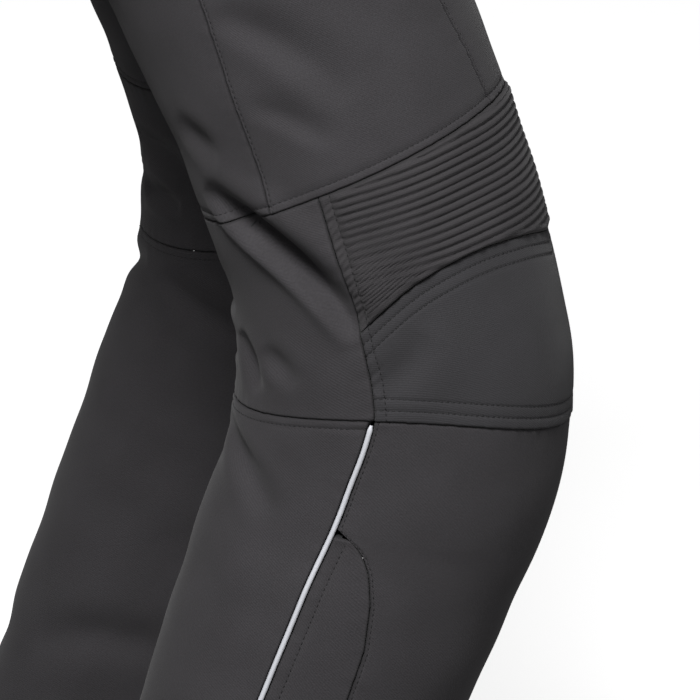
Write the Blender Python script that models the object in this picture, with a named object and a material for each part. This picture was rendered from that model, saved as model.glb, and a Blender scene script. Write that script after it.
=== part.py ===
"""Motorcycle trousers as worn in a half squat with the legs apart.

The origin is the middle of the waist opening, +Z is up, the wearer faces -Y and the wearer's
right leg is at -X. Each half of the garment is one skin. A point of it is given by its way, the
distance in metres below the waist along the leg, and by its angle round the section there: 0 at
the outer side, 90 at the front, 180 at the inner side and -90 at the back. Every piece of cloth
is a wall cut from that skin between seams.
"""

import math

import bmesh
import bpy
import numpy as np
from mathutils import Matrix, Vector

CLOTH = 0.0018
SEAM_GAP = 0.0003
BAND_HEIGHT = 0.040
CROSS_SEAM = 0.503
KNEE_SEAM = 0.629
HEM = 1.040
SIDE_SEAM = -21.0
KNEE_EDGE = -2.0
INSEAM = 180.0
KNEE_STANDS_PROUD = 0.0011
PIPING_RADIUS = 0.0014
CORD_HALF_ANGLE = 1.08
RIB_PITCH = 0.0040
RIB_HEIGHT = 0.0011
RIB_FLAT_EDGE = 4.0
BUTTON_RADIUS = 0.0085
BUTTON_HEIGHT = 0.0032
FLY_END = 0.160
GUSSET_TOP = 0.6945
THIGH_ROWS_BEND = 0.40
BAND_OVERLAP_END = 68.0
LEG_RADIUS = 0.086
FOLD_BOW = 0.06
FOLD_TAPER = 0.6
FOLD_LIP = 0.25
CROSS_SEAM_RISE = 0.0095
KNEE_SEAM_FALL = 0.0155
FIRST_RIB = 0.4957
LEAST_RIB_STEP = 0.0008
BUTTON_WAY = 0.019
BUTTON_ANGLE = 78.0

# Sections down one leg. x, forward and drop place the middle, tilt raises the section's front,
# yaw turns it outward, the next four are its half sizes, and square is under 1 where cloth
# bridges the two legs.
SECTION_COLUMNS = (
    "way", "x", "forward", "drop", "tilt", "yaw", "outer", "inner", "front", "back", "square",
)
SECTIONS = (
    (0.000, 0.000, 0.000, 0.000, 0, 0, 0.155, 0.155, 0.118, 0.118, 1.00),
    (0.080, 0.010, 0.004, 0.080, 2, 0, 0.172, 0.165, 0.120, 0.132, 0.80),
    (0.160, 0.038, 0.008, 0.160, 4, 0, 0.156, 0.138, 0.120, 0.146, 0.55),
    (0.225, 0.070, 0.014, 0.224, 7, 0, 0.125, 0.106, 0.112, 0.138, 0.40),
    (0.275, 0.096, 0.024, 0.272, 11, 3, 0.102, 0.096, 0.104, 0.118, 0.80),
    (0.335, 0.116, 0.044, 0.330, 15, 9, 0.094, 0.093, 0.097, 0.099, 1.00),
    (0.435, 0.136, 0.077, 0.424, 18, 16, 0.090, 0.089, 0.094, 0.085, 1.00),
    (0.515, 0.152, 0.103, 0.499, 17, 19, 0.087, 0.086, 0.092, 0.083, 1.00),
    (0.575, 0.162, 0.120, 0.556, 12, 20, 0.085, 0.084, 0.091, 0.084, 1.00),
    (0.625, 0.168, 0.128, 0.605, 2, 20, 0.084, 0.083, 0.091, 0.091, 1.00),
    (0.675, 0.170, 0.124, 0.655, -9, 20, 0.083, 0.082, 0.089, 0.093, 1.00),
    (0.735, 0.172, 0.103, 0.712, -17, 20, 0.082, 0.081, 0.086, 0.091, 1.00),
    (0.835, 0.175, 0.065, 0.806, -20, 20, 0.080, 0.079, 0.083, 0.085, 1.00),
    (0.940, 0.178, 0.027, 0.905, -19, 20, 0.077, 0.076, 0.080, 0.080, 1.00),
    (1.040, 0.180, -0.007, 0.999, -17, 20, 0.075, 0.074, 0.077, 0.077, 1.00),
)

# Folds are troughs from one point of the skin to another, with their depth on each leg and half
# width in metres.
FOLD_COLUMNS = ("way_a", "angle_a", "way_b", "angle_b", "right", "left", "width")
FOLDS = (
    (0.490, -52, 0.580, -2, 0.0095, 0.0075, 0.0095),
    (0.585, -66, 0.624, -52, 0.0045, 0.0050, 0.0075),
    (0.590, -46, 0.612, -31, 0.0030, 0.0022, 0.0075),
    (0.664, -84, 0.700, -33, 0.0045, 0.0038, 0.0085),
    (0.393, -16, 0.458, 19, 0.0045, 0.0034, 0.0090),
    (0.446, -16, 0.478, 9, 0.0024, 0.0030, 0.0060),
    (0.452, -54, 0.473, -38, 0.0032, 0.0026, 0.0075),
    (0.586, 19, 0.613, -1, 0.0024, 0.0020, 0.0080),
    (0.497, 232, 0.572, 190, 0.0060, 0.0085, 0.0095),
    (0.592, 248, 0.611, 214, 0.0036, 0.0030, 0.0080),
    (0.566, 252, 0.560, 290, 0.0050, 0.0040, 0.0090),
    (0.607, 256, 0.602, 284, 0.0045, 0.0055, 0.0080),
    (0.668, 262, 0.703, 208, 0.0034, 0.0044, 0.0085),
    (0.262, 152, 0.292, 96, 0.0050, 0.0042, 0.0100),
    (0.300, 165, 0.322, 118, 0.0034, 0.0040, 0.0090),
    (0.310, 196, 0.298, 262, 0.0060, 0.0052, 0.0110),
    (0.340, 205, 0.352, 250, 0.0032, 0.0040, 0.0090),
    (0.930, -70, 0.948, 10, 0.0036, 0.0028, 0.0110),
    (0.965, 70, 0.978, 150, 0.0026, 0.0036, 0.0100),
    (0.905, 190, 0.925, 262, 0.0030, 0.0034, 0.0110),
)

# Rows of points down the thigh and the shin, as ways.
THIGH_ROWS = (
    0.040, 0.080, 0.120, 0.155, 0.190, 0.220, 0.243, 0.260, 0.270, 0.275,
    0.290, 0.312, 0.340, 0.370, 0.400, 0.425, 0.448, 0.468, 0.486, 0.503,
)
SHIN_ROWS = (
    0.629, 0.648, 0.670, 0.6945, 0.697, 0.702, 0.712, 0.728, 0.752, 0.80, 0.85, 0.90, 0.935, 0.965, 1.04,
)

# Angles at which the pieces on both sides of a crosswise seam have their columns.
OUTER_COLUMNS = (9, 22, 35, 48, 61, 74)
INNER_COLUMNS = (88, 102, 116, 130, 144, 158, 171)
BACK_COLUMNS = (194, 208, 222, 236, 250, 264, 278, 291, 303, 315, 327, 339)

# Seams that don't run straight, as way against angle or angle against way.
FRONT_LINE = {"way": (0.04, 0.25, 0.33, 0.40, 0.445, 0.494), "angle": (36, 42, 48, 57, 65, 74)}
PIPING_LINE = {"way": (0.629, 0.645, 0.668, 0.700, 0.735, 1.04), "angle": (-3, -5.5, -9, -11, -12, -12)}
GUSSET_LINE = {
    "way": (GUSSET_TOP, 0.697, 0.702, 0.712, 0.728, 0.752, 0.80, 0.90, 1.04),
    "angle": (-9.75, -4.5, 0.5, 6, 11, 15, 17, 18, 18),
}
KNEE_TOP = {
    "angle": (-2, 8, 20, 33, 46, 63, 90),
    "way": (0.5800, 0.5700, 0.5612, 0.5565, 0.5550, 0.5575, 0.5655),
}

CHARCOAL = (0.046, 0.044, 0.047)
KNEE_BLACK = (0.040, 0.038, 0.040)
REFLECTIVE_WHITE = (0.80, 0.80, 0.83)


def smooth(at, xs, ys):
    """A curve through the points (xs, ys) that turns evenly at each of them."""
    xs, ys = np.asarray(xs, float), np.asarray(ys, float)
    past_the_end = 0.01 * (xs[-1] - xs[0])
    at = np.clip(np.asarray(at, float), xs[0] - past_the_end, xs[-1] + past_the_end)
    step = np.diff(xs)
    rise = np.diff(ys) / step
    inside = (rise[:-1] * step[1:] + rise[1:] * step[:-1]) / (step[1:] + step[:-1])
    slope = np.concatenate([rise[:1], inside, rise[-1:]])
    i = np.clip(np.searchsorted(xs, at, side="right") - 1, 0, len(xs) - 2)
    t = (at - xs[i]) / step[i]
    start = (2 * t**3 - 3 * t**2 + 1) * ys[i] + (t**3 - 2 * t**2 + t) * step[i] * slope[i]
    end = (3 * t**2 - 2 * t**3) * ys[i + 1] + (t**3 - t**2) * step[i] * slope[i + 1]
    return start + end


def section(way):
    columns = dict(zip(SECTION_COLUMNS, zip(*SECTIONS)))
    return {name: smooth(way, columns["way"], column) for name, column in columns.items()}


def fold_depth(way, angle, side):
    """How far the folds push the skin in at a point, in metres."""
    depth = np.zeros(np.shape(way))
    for row in FOLDS:
        fold = dict(zip(FOLD_COLUMNS, row))
        turn = (angle - fold["angle_a"] + 180) % 360 - 180
        along = np.radians(fold["angle_b"] - fold["angle_a"]) * LEG_RADIUS
        down = fold["way_b"] - fold["way_a"]
        length = math.hypot(along, down)
        x, y = np.radians(turn) * LEG_RADIUS, way - fold["way_a"]
        t = (x * along + y * down) / length**2
        bow = FOLD_BOW * length * np.sin(math.pi * np.clip(t, 0, 1))
        across = (x * down - y * along) / length - bow
        taper = np.sin(math.pi * np.clip(t, 0, 1)) ** FOLD_TAPER
        trough = np.exp(-((across / fold["width"]) ** 2))
        lip = FOLD_LIP * np.exp(-(((np.abs(across) / fold["width"]) - 2.0) ** 2))
        depth += (fold["left"] if side > 0 else fold["right"]) * taper * (trough - lip)
    return depth


def bare_skin(way, angle, side):
    at = section(way)
    turn = np.radians(angle)
    across, along = np.cos(turn), np.sin(turn)
    inner_side = across < 0
    full = np.abs(along) ** np.where(inner_side, at["square"], 1.0) * np.sign(along)
    wide = np.where(inner_side, at["inner"], at["outer"]) * across
    deep = np.where(along > 0, at["front"], at["back"]) * full
    tilt, yaw = np.radians(at["tilt"]), np.radians(at["yaw"])
    x = at["x"] + wide * np.cos(yaw) + deep * np.cos(tilt) * np.sin(yaw)
    y = -at["forward"] + wide * np.sin(yaw) - deep * np.cos(tilt) * np.cos(yaw)
    z = -at["drop"] + deep * np.sin(tilt)
    return np.stack([side * x, y, z], -1)


def facing_out(way, angle, side):
    """The outward unit normal of the skin without its folds."""
    reach = 0.001
    turn = 0.6
    down = bare_skin(way + reach, angle, side) - bare_skin(way - reach, angle, side)
    round_it = bare_skin(way, angle + turn, side) - bare_skin(way, angle - turn, side)
    normal = np.cross(round_it, down) * side
    return normal / np.linalg.norm(normal, axis=-1, keepdims=True)


def skin(way, angle, side, out=0.0):
    """Points of the folded outer skin, or of a layer that lies out from it."""
    way, angle = np.broadcast_arrays(np.asarray(way, float), np.asarray(angle, float))
    moved = np.broadcast_to(out, way.shape) - fold_depth(way, angle, side)
    return bare_skin(way, angle, side) + facing_out(way, angle, side) * moved[..., None]


def rise_angle(way):
    """The angle at which a section meets the middle of the body, or the inseam below the crotch."""
    at = section(way)
    return np.degrees(np.arccos(np.clip(-at["x"] / at["inner"], -1.0, 0.0)))


def back_rise_angle(way):
    return 360 - rise_angle(way)


def cross_seam(angle):
    return CROSS_SEAM - CROSS_SEAM_RISE * np.sin(np.radians(angle))


def knee_seam(angle):
    return KNEE_SEAM + KNEE_SEAM_FALL * np.sin(np.radians(angle)) ** 2


def knee_top(angle):
    folded = 90 - np.abs(np.asarray(angle, float) - 90)
    return smooth(folded, KNEE_TOP["angle"], KNEE_TOP["way"])


def front_line(way):
    return smooth(way, FRONT_LINE["way"], FRONT_LINE["angle"])


def piping_line(way):
    return smooth(way, PIPING_LINE["way"], PIPING_LINE["angle"])


def front_of_piping(way):
    return piping_line(way) + CORD_HALF_ANGLE


def back_of_piping(way):
    return 360 + piping_line(way) - CORD_HALF_ANGLE


def gusset_line(way):
    """The outer edge of the front shin: the piping, then the curve of the gusset."""
    curve = np.interp(way, GUSSET_LINE["way"], GUSSET_LINE["angle"])
    return np.where(way < GUSSET_TOP, front_of_piping(way), curve)


def straight(angle):
    return lambda way: np.full(np.shape(way), angle)


def panel_grid(place, left, right, rows, columns):
    """Way and angle of a grid. place gives the way of a row at an angle; columns are shares."""
    row, share = np.meshgrid(rows, columns, indexing="ij")
    way = row.copy()
    for _ in range(12):
        angle = left(way) + (right(way) - left(way)) * share
        way = place(row, angle)
    return way, angle


def pulled_in(way, angle, side):
    """The grid with its border drawn back from the seams by half a seam gap."""
    reach = 0.0005
    turn = 0.5
    here = bare_skin(way, angle, side)
    stretch = np.linalg.norm(bare_skin(way + reach, angle, side) - here, axis=-1) / reach
    radius = np.linalg.norm(bare_skin(way, angle + turn, side) - here, axis=-1) / turn
    border = {
        "top": (np.s_[0, :], np.s_[1, :]),
        "bottom": (np.s_[-1, :], np.s_[-2, :]),
        "left": (np.s_[:, 0], np.s_[:, 1]),
        "right": (np.s_[:, -1], np.s_[:, -2]),
    }
    shift = np.zeros((*way.shape, 2))
    inward = {}
    for name, (edge, beside) in border.items():
        down, over = np.gradient(way[edge]) * stretch[edge], np.gradient(angle[edge]) * radius[edge]
        across = np.stack([-over, down], -1) / np.hypot(down, over)[:, None]
        inside = np.stack([way[beside] - way[edge], angle[beside] - angle[edge]], -1)
        inside *= np.stack([stretch[edge], radius[edge]], -1)
        inward[name] = across * np.sign((inside * across).sum(-1))[:, None]
        shift[edge] = inward[name] * SEAM_GAP / 2
    for row, level in ((0, "top"), (-1, "bottom")):
        for column, upright in ((0, "left"), (-1, "right")):
            pair = np.stack([inward[level][column], inward[upright][row]])
            shift[row, column] = np.linalg.solve(pair, np.full(2, SEAM_GAP / 2))
    return way + shift[..., 0] / stretch, angle + shift[..., 1] / radius


def keep_off_the_middle(points, side):
    points[..., 0] = side * np.maximum(side * points[..., 0], SEAM_GAP / 2)
    return points


def add_object(bm, name, colour, roughness):
    mesh = bpy.data.meshes.new(name)
    bmesh.ops.recalc_face_normals(bm, faces=bm.faces)
    bm.to_mesh(mesh)
    bm.free()
    mesh.shade_smooth()
    mesh.set_sharp_from_angle(angle=math.radians(35))
    obj = bpy.data.objects.new(name, mesh)
    bpy.context.scene.collection.objects.link(obj)
    material = bpy.data.materials.new(name)
    material.use_nodes = True
    shader = material.node_tree.nodes["Principled BSDF"]
    shader.inputs["Base Color"].default_value = (*colour, 1.0)
    shader.inputs["Roughness"].default_value = roughness
    shader.inputs["Metallic"].default_value = 0.0
    mesh.materials.append(material)
    return obj


def add_sheet(bm, points):
    """A grid of faces through points[row, column], and its border edges."""
    rows, columns = points.shape[:2]
    made = bmesh.ops.create_grid(bm, x_segments=columns - 1, y_segments=rows - 1, size=1.0)
    for vert in made["verts"]:
        column = round((vert.co.x + 1) / 2 * (columns - 1))
        row = round((vert.co.y + 1) / 2 * (rows - 1))
        vert.co = points[row, column]
    edges = {edge for vert in made["verts"] for edge in vert.link_edges}
    return [edge for edge in edges if edge.is_boundary]


def add_wall(name, outer, inner, colour=CHARCOAL, roughness=0.9):
    """A closed wall of cloth between two grids of points."""
    bm = bmesh.new()
    border = add_sheet(bm, outer)
    border += add_sheet(bm, inner)
    bmesh.ops.bridge_loops(bm, edges=border)
    return add_object(bm, name, colour, roughness)


def add_panel(name, side, grid, out=0.0, colour=CHARCOAL):
    way, angle = pulled_in(*grid, side)
    outer = keep_off_the_middle(skin(way, angle, side, out), side)
    inner = keep_off_the_middle(skin(way, angle, side, np.asarray(out) - CLOTH), side)
    return add_wall(name, outer, inner, colour)


def shares(values):
    values = np.asarray(values, float)
    return (values - values[0]) / (values[-1] - values[0])


def even(count):
    return np.linspace(0.0, 1.0, count + 1)


def thigh_way(row, angle):
    """Rows of the thigh run level, and bend with the crosswise seam over its last tenth."""
    share = np.clip((row - THIGH_ROWS_BEND) / (CROSS_SEAM - THIGH_ROWS_BEND), 0, 1)
    return row + (cross_seam(angle) - CROSS_SEAM) * share


def knee_way(row, angle):
    return knee_top(angle) + (knee_seam(angle) - knee_top(angle)) * row


def knee_back_way(row, angle):
    return cross_seam(angle) + (knee_seam(angle) - cross_seam(angle)) * row


def shin_way(row, angle):
    """Rows of the shin follow the knee seam at the top, and run level from the gusset down."""
    share = np.clip((GUSSET_TOP - row) / (GUSSET_TOP - KNEE_SEAM), 0, 1)
    return row + (knee_seam(angle) - KNEE_SEAM) * share


def gusset_way(row, angle):
    """Rows of the gusset run level, but its top edge slopes along the first stretch of its curve."""
    (top, below), (start, end) = GUSSET_LINE["way"][:2], GUSSET_LINE["angle"][:2]
    slope = np.where(row <= below, (below - top) / (end - start), 0.0)
    return row + (angle - end) * slope


def add_thigh(side, tag):
    columns = shares((SIDE_SEAM, -12, KNEE_EDGE, *OUTER_COLUMNS))
    outer = panel_grid(thigh_way, straight(SIDE_SEAM), front_line, THIGH_ROWS, columns)
    add_panel(f"front_outer_{tag}", side, outer)
    columns = shares((OUTER_COLUMNS[-1], *INNER_COLUMNS, INSEAM))
    inner = panel_grid(thigh_way, front_line, rise_angle, THIGH_ROWS, columns)
    add_panel(f"front_inner_{tag}", side, inner)
    columns = shares((INSEAM, *BACK_COLUMNS))
    back = panel_grid(thigh_way, back_rise_angle, straight(360 + SIDE_SEAM), THIGH_ROWS, columns)
    add_panel(f"back_{tag}", side, back)


def rib_ways(last):
    """Ways of the valleys and crests of the ribs down one column of the panel."""
    count = int((last - LEAST_RIB_STEP - FIRST_RIB) / (RIB_PITCH / 2))
    return FIRST_RIB + RIB_PITCH / 2 * np.arange(count + 1)


def strip_faces(bm, one, other, one_ways, other_ways):
    """Triangles between two lines of vertices, paired by how far down each vertex lies."""
    i = j = 0
    while i < len(one) - 1 or j < len(other) - 1:
        step_one = j == len(other) - 1 or (i < len(one) - 1 and one_ways[i + 1] <= other_ways[j + 1])
        if step_one:
            bm.faces.new((one[i], other[j], one[i + 1]))
            i += 1
        else:
            bm.faces.new((one[i], other[j], other[j + 1]))
            j += 1


def add_rib_panel(side, tag):
    """The stretch panel over the knee. Its ribs run level round the leg and the arch cuts them."""
    seam = SEAM_GAP / 2
    angle_gap = math.degrees(seam / LEG_RADIUS)
    first, last = KNEE_EDGE + angle_gap, 180 - KNEE_EDGE - angle_gap
    flat, ribbed = KNEE_EDGE + RIB_FLAT_EDGE - 0.5, KNEE_EDGE + RIB_FLAT_EDGE + 0.5
    angles = [first, flat, ribbed, *OUTER_COLUMNS, *INNER_COLUMNS, 180 - ribbed, 180 - flat, last]
    bm = bmesh.new()
    outer, inner, ways = [], [], []
    for angle in angles:
        top, bottom = float(cross_seam(angle)) + seam, float(knee_top(angle)) - seam
        line = np.array([top, *[w for w in rib_ways(bottom) if w > top + LEAST_RIB_STEP], bottom])
        phase = (line - FIRST_RIB) / RIB_PITCH
        crest = np.abs(np.sin(math.pi * phase))
        inside = KNEE_EDGE + RIB_FLAT_EDGE < angle < 180 - KNEE_EDGE - RIB_FLAT_EDGE
        crest[0] = crest[-1] = 0.0
        out = RIB_HEIGHT * crest * inside
        outer.append([bm.verts.new(p) for p in skin(line, np.full(len(line), angle), side, out)])
        plain = np.linspace(top, bottom, 5)
        inner.append([bm.verts.new(p) for p in skin(plain, np.full(5, angle), side, -CLOTH)])
        ways.append((line, plain))
    for k in range(len(angles) - 1):
        strip_faces(bm, outer[k], outer[k + 1], ways[k][0], ways[k + 1][0])
        strip_faces(bm, inner[k], inner[k + 1], ways[k][1], ways[k + 1][1])
        for end in (0, -1):
            bm.faces.new((outer[k][end], outer[k + 1][end], inner[k + 1][end], inner[k][end]))
    for k in (0, -1):
        strip_faces(bm, outer[k], inner[k], *ways[k])
    add_object(bm, f"rib_{tag}", KNEE_BLACK, 0.85)


def add_knee(side, tag):
    inner_edge, outer_edge = 180 - KNEE_EDGE, 360 + KNEE_EDGE
    columns = shares((KNEE_EDGE, *OUTER_COLUMNS, *INNER_COLUMNS, inner_edge))
    grid = panel_grid(knee_way, straight(KNEE_EDGE), straight(inner_edge), even(6), columns)
    down = np.broadcast_to(even(6)[:, None], grid[0].shape)
    proud = KNEE_STANDS_PROUD * np.clip(down * 2.0 - 1.0, 0.0, 1.0)
    add_panel(f"knee_{tag}", side, grid, proud, KNEE_BLACK)
    columns = shares((inner_edge, *BACK_COLUMNS, 348, outer_edge))
    behind = panel_grid(knee_back_way, straight(inner_edge), straight(outer_edge), even(8), columns)
    add_panel(f"knee_back_{tag}", side, behind)


def add_shin(side, tag):
    columns = shares((KNEE_EDGE, *OUTER_COLUMNS, *INNER_COLUMNS, INSEAM))
    front = panel_grid(shin_way, gusset_line, straight(INSEAM), SHIN_ROWS, columns)
    add_panel(f"shin_front_{tag}", side, front)
    rows = SHIN_ROWS[SHIN_ROWS.index(GUSSET_LINE["way"][1]):]
    gusset = panel_grid(gusset_way, front_of_piping, gusset_line, rows, even(2))
    add_panel(f"gusset_{tag}", side, gusset)
    columns = shares((INSEAM, *BACK_COLUMNS, 348, 360 + KNEE_EDGE))
    back = panel_grid(shin_way, straight(INSEAM), back_of_piping, SHIN_ROWS, columns)
    add_panel(f"shin_back_{tag}", side, back)


def add_piping(side, tag):
    """A cord in the outer shin seam, standing half out of it."""
    ways = np.concatenate([np.linspace(KNEE_SEAM + 0.002, 0.73, 7), np.linspace(0.76, HEM - 0.001, 9)])
    middle = skin(ways, piping_line(ways), side, -0.0001)
    out = skin(ways, piping_line(ways), side, 0.0009) - middle
    bm = bmesh.new()
    rings = []
    for k, point in enumerate(middle):
        before, after = middle[max(k - 1, 0)], middle[min(k + 1, len(middle) - 1)]
        along = Vector(after - before).normalized()
        up = Vector(out[k]).normalized()
        turn = [Matrix.Rotation(math.radians(60 * step), 3, along) for step in range(6)]
        rings.append([bm.verts.new(Vector(point) + spin @ up * PIPING_RADIUS) for spin in turn])
    for one, other in zip(rings, rings[1:]):
        for k in range(6):
            bm.faces.new((one[k], one[(k + 1) % 6], other[(k + 1) % 6], other[k]))
    bm.faces.new(rings[0])
    bm.faces.new(rings[-1])
    add_object(bm, f"piping_{tag}", REFLECTIVE_WHITE, 0.5)


def add_waistband():
    """One band round the waist. Its left end laps over its right end at the front."""
    lap = CLOTH + SEAM_GAP
    stops = np.linspace(-84.0, 84.0, 13)
    right = [(-1, angle, 0.0) for angle in (89.8, *stops[::-1], -90.0)]
    left = [(1, angle, lap * np.clip((angle - 60) / 20, 0, 1)) for angle in stops]
    over = [(-1, angle, lap) for angle in (90.0, 84.0, 76.0, BAND_OVERLAP_END)]
    ways = np.array([0.0, 0.020, BAND_HEIGHT - SEAM_GAP / 2])
    lines = {"outer": [], "inner": []}
    for side, angle, out in (*right, *left, *over):
        at_front = np.minimum(rise_angle(ways), 90.0) if angle in (90.0, -90.0) else angle
        turn = np.broadcast_to(np.sign(angle) * np.abs(at_front), ways.shape)
        lines["outer"].append(skin(ways, turn, side, out))
        lines["inner"].append(skin(ways, turn, side, out - CLOTH))
    outer, inner = (np.stack(lines[name], axis=1) for name in ("outer", "inner"))
    add_wall("waistband", outer, inner)


def add_fly():
    """The fly's top layer, made from points of the two fronts beside the rise."""
    rows = [way for way in THIGH_ROWS if way <= FLY_END]
    columns = shares((OUTER_COLUMNS[-1], *INNER_COLUMNS, INSEAM))
    walls = []
    for out in (CLOTH + SEAM_GAP, SEAM_GAP):
        halves = {}
        for side in (-1, 1):
            grid = panel_grid(thigh_way, front_line, rise_angle, rows, columns)
            way, angle = pulled_in(*grid, side)
            halves[side] = keep_off_the_middle(skin(way, angle, side, out), side)
        middle = (halves[-1][:, -1] + halves[1][:, -1]) / 2
        lines = (halves[-1][:, -2], middle, halves[1][:, -2], halves[1][:, -3])
        walls.append(np.stack(lines, axis=1))
    add_wall("fly", *walls)


def add_button():
    foot = CLOTH + 2 * SEAM_GAP
    centre = skin(BUTTON_WAY, BUTTON_ANGLE, -1, foot)
    normal = Vector(centre - skin(BUTTON_WAY, BUTTON_ANGLE, -1)).normalized()
    bm = bmesh.new()
    made = bmesh.ops.create_cone(
        bm, segments=20, radius1=BUTTON_RADIUS, radius2=BUTTON_RADIUS * 0.86,
        depth=BUTTON_HEIGHT, cap_ends=True,
    )
    bmesh.ops.translate(bm, verts=made["verts"], vec=(0, 0, BUTTON_HEIGHT / 2))
    obj = add_object(bm, "button", (0.02, 0.02, 0.022), 0.45)
    obj.matrix_world = Matrix.Translation(Vector(centre)) @ normal.to_track_quat("Z", "Y").to_matrix().to_4x4()


def main():
    for obj in list(bpy.data.objects):
        bpy.data.objects.remove(obj)
    for side, tag in ((-1, "r"), (1, "l")):
        add_thigh(side, tag)
        add_rib_panel(side, tag)
        add_knee(side, tag)
        add_shin(side, tag)
        add_piping(side, tag)
    add_waistband()
    add_fly()
    add_button()


main()
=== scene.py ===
import math

import bmesh
import bpy
import numpy as np
from mathutils import Matrix, Vector


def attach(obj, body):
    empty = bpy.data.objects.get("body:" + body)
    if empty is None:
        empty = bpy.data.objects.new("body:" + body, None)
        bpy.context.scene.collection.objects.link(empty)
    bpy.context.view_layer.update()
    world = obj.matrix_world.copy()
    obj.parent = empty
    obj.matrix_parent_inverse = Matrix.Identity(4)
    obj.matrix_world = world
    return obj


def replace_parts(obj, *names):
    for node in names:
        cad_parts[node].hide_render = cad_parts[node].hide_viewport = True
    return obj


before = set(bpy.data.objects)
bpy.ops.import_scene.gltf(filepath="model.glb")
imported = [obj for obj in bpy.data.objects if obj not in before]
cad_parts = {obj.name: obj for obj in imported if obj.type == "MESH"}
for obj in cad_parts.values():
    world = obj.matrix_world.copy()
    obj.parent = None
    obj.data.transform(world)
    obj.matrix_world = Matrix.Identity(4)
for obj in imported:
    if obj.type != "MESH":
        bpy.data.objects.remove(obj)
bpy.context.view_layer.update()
print("frame loaded")

# One leg's sections from waist to hem, in metres and degrees. x, forward and drop place the middle,
# tilt raises the front, yaw turns it outward, and square is under 1 where cloth bridges the legs.
legShape = {
    "way": (0, 0.08, 0.16, 0.225, 0.275, 0.335, 0.435, 0.515, 0.575, 0.625, 0.675, 0.735, 0.835, 0.94, 1.04),
    "x": (0, 0.01, 0.038, 0.07, 0.096, 0.116, 0.136, 0.152, 0.162, 0.168, 0.17, 0.172, 0.175, 0.178, 0.18),
    "forward": (0, 0.004, 0.008, 0.014, 0.024, 0.044, 0.077, 0.103, 0.12, 0.128, 0.124, 0.103, 0.065, 0.027, -0.007),
    "drop": (0, 0.08, 0.16, 0.224, 0.272, 0.33, 0.424, 0.499, 0.556, 0.605, 0.655, 0.712, 0.806, 0.905, 0.999),
    "tilt": (0, 2, 4, 7, 11, 15, 18, 17, 12, 2, -9, -17, -20, -19, -17),
    "yaw": (0, 0, 0, 0, 3, 9, 16, 19, 20, 20, 20, 20, 20, 20, 20),
    "outer": (0.155, 0.172, 0.156, 0.125, 0.102, 0.094, 0.09, 0.087, 0.085, 0.084, 0.083, 0.082, 0.08, 0.077, 0.075),
    "inner": (0.155, 0.165, 0.138, 0.106, 0.096, 0.093, 0.089, 0.086, 0.084, 0.083, 0.082, 0.081, 0.079, 0.076, 0.074),
    "front": (0.118, 0.12, 0.12, 0.112, 0.104, 0.097, 0.094, 0.092, 0.091, 0.091, 0.089, 0.086, 0.083, 0.08, 0.077),
    "back": (0.118, 0.132, 0.146, 0.138, 0.118, 0.099, 0.085, 0.083, 0.084, 0.091, 0.093, 0.091, 0.085, 0.08, 0.077),
    "square": (1, 0.8, 0.55, 0.4, 0.8, 1, 1, 1, 1, 1, 1, 1, 1, 1, 1),
}

# Seams, as ways down the leg against angles round it: 0 outer, 90 front, 180 inner, 270 back.
seams = {
    "cross": 0.503, "crossDip": 0.0095, "knee": 0.629, "kneeDip": 0.0155,
    "band": 0.040, "hem": 1.040, "flyEnd": 0.160,
    "side": -21, "kneeEdge": -2, "inseam": 180, "cordHalf": 1.08,
    "frontLine": ((0.04, 0.25, 0.33, 0.40, 0.445, 0.494), (36, 42, 48, 57, 65, 74)),
    "piping": ((0.629, 0.645, 0.668, 0.700, 0.735, 1.04), (-3, -5.5, -9, -11, -12, -12)),
    "gusset": ((0.6945, 0.697, 0.702, 0.712, 0.728, 0.752, 0.80, 0.90, 1.04), (-9.75, -4.5, 0.5, 6, 11, 15, 17, 18, 18)),
    "kneeTop": ((-2, 8, 20, 33, 46, 63, 90), (0.5800, 0.5700, 0.5612, 0.5565, 0.5550, 0.5575, 0.5655)),
}

# Creases: way and angle of both ends, depth on the right and left leg and half width in mm, and lean,
# which makes one flank steeper. A negative depth is a ridge.
creases = (
    (0.490, -52, 0.580, -2, 14.0, 9.0, 7.5, 0.3), (0.585, -66, 0.624, -52, 4.5, 5.0, 7.5, 0.0),
    (0.590, -46, 0.612, -31, 3.0, 2.2, 7.5, 0.0), (0.664, -84, 0.700, -33, 4.5, 3.8, 8.5, 0.0),
    (0.393, -16, 0.458, 19, 4.5, 3.4, 9.0, 0.2), (0.446, -16, 0.478, 9, 2.4, 3.0, 6.0, 0.3),
    (0.452, -54, 0.473, -38, 3.2, 2.6, 7.5, 0.0), (0.586, 19, 0.613, -1, 2.4, 2.0, 8.0, 0.0),
    (0.497, 232, 0.572, 190, 6.0, 8.5, 9.5, 0.2), (0.592, 248, 0.611, 214, 3.6, 3.0, 8.0, 0.0),
    (0.566, 252, 0.560, 290, 5.0, 4.0, 9.0, 0.0), (0.607, 256, 0.602, 284, 4.5, 5.5, 8.0, 0.2),
    (0.668, 262, 0.703, 208, 3.4, 4.4, 8.5, 0.0), (0.262, 152, 0.292, 96, 5.0, 4.2, 10.0, 0.2),
    (0.300, 165, 0.322, 118, 3.4, 4.0, 9.0, 0.0), (0.310, 196, 0.298, 262, 6.0, 5.2, 11.0, -0.2),
    (0.340, 205, 0.352, 250, 3.2, 4.0, 9.0, 0.0), (0.930, -70, 0.948, 10, 3.6, 2.8, 11.0, 0.0),
    (0.965, 70, 0.978, 150, 2.6, 3.6, 10.0, 0.0), (0.905, 190, 0.925, 262, 3.0, 3.4, 11.0, 0.0),
)

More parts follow.
